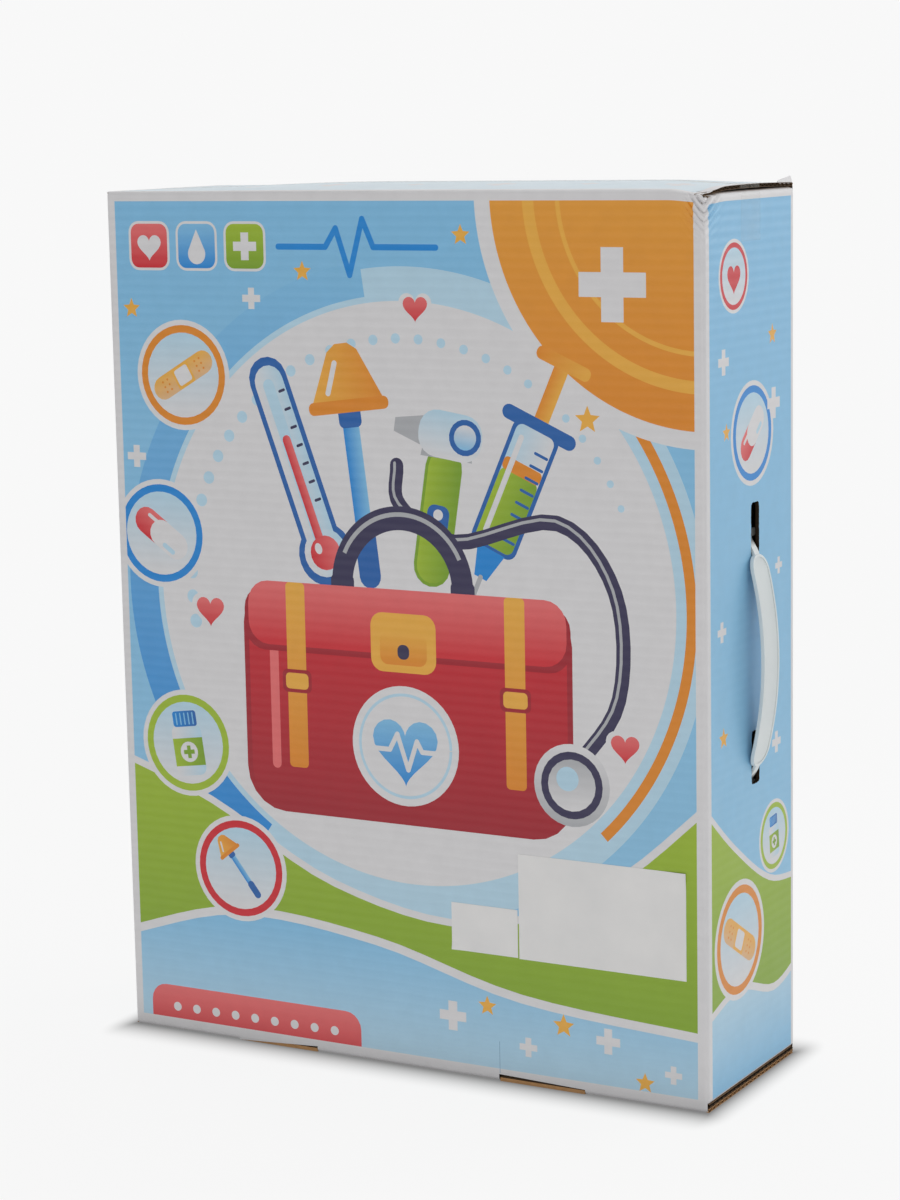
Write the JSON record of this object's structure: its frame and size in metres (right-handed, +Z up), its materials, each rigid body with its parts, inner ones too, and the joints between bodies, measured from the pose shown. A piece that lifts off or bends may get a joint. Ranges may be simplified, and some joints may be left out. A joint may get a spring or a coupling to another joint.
{
  "type": "carry carton of a toy doctor set",
  "caption": "Tall flat folding carton of printed corrugated board that opens at the top, with a strap handle on one side to carry it like a case.",
  "frame": {"origin": "middle of the base that the case stands on", "axes": "+Z up, -Y out of the large front face, +X towards the side with the handle"},
  "size_m": [0.4525, 0.1402, 0.5801],
  "materials": {
    "printed_board": "coated printed paper outside, brown kraft inside and at the cut edges",
    "kraft_board": "plain brown kraft",
    "white_plastic": "satin moulded plastic",
    "clear_tape": "clear glossy film",
    "label_paper": "blank white paper"
  },
  "bodies": {
    "carton": {"front_panel": "printed_board", "back_panel": "printed_board", "left_side_panel": "printed_board", "right_side_panel": "printed_board", "glue_flap": "kraft_board", "bottom_outer_flap": "printed_board", "bottom_inner_flap": "printed_board", "bottom_left_dust_flap": "printed_board", "bottom_right_dust_flap": "printed_board", "large_blank_label": "label_paper", "small_blank_label": "label_paper", "seam_tape_tails": "clear_tape"},
    "top_front": {"top_front_flap": "printed_board", "seam_tape_front": "clear_tape"},
    "top_back": {"top_back_flap": "printed_board", "seam_tape_back": "clear_tape"},
    "top_left_dust": {"top_left_dust_flap": "printed_board"},
    "top_right_dust": {"top_right_dust_flap": "printed_board"},
    "handle": {"carry_handle": "white_plastic"}
  },
  "joints": [
    {"name": "top_front_hinge", "type": "hinge", "parent": "carton", "child": "top_front", "pos_m": [0, -0.07, 0.58], "axis": [1, 0, 0], "range_deg": [0, 235]},
    {"name": "top_back_hinge", "type": "hinge", "parent": "carton", "child": "top_back", "pos_m": [0, 0.07, 0.58], "axis": [-1, 0, 0], "range_deg": [0, 235]},
    {"name": "top_left_dust_hinge", "type": "hinge", "parent": "carton", "child": "top_left_dust", "pos_m": [-0.22, 0, 0.5773], "axis": [0, -1, 0], "range_deg": [0, 94]},
    {"name": "top_right_dust_hinge", "type": "hinge", "parent": "carton", "child": "top_right_dust", "pos_m": [0.22, 0, 0.5773], "axis": [0, 1, 0], "range_deg": [0, 94]},
    {"name": "handle_slide", "type": "slide", "parent": "carton", "child": "handle", "axis": [0, 0, 1], "range_m": [0, 0.0212]}
  ],
  "couplings": [
    {"joint": "top_back_hinge", "follows": "top_front_hinge", "ratio": 1},
    {"joint": "top_left_dust_hinge", "follows": "top_front_hinge", "ratio": 0.4},
    {"joint": "top_right_dust_hinge", "follows": "top_front_hinge", "ratio": 0.4}
  ]
}
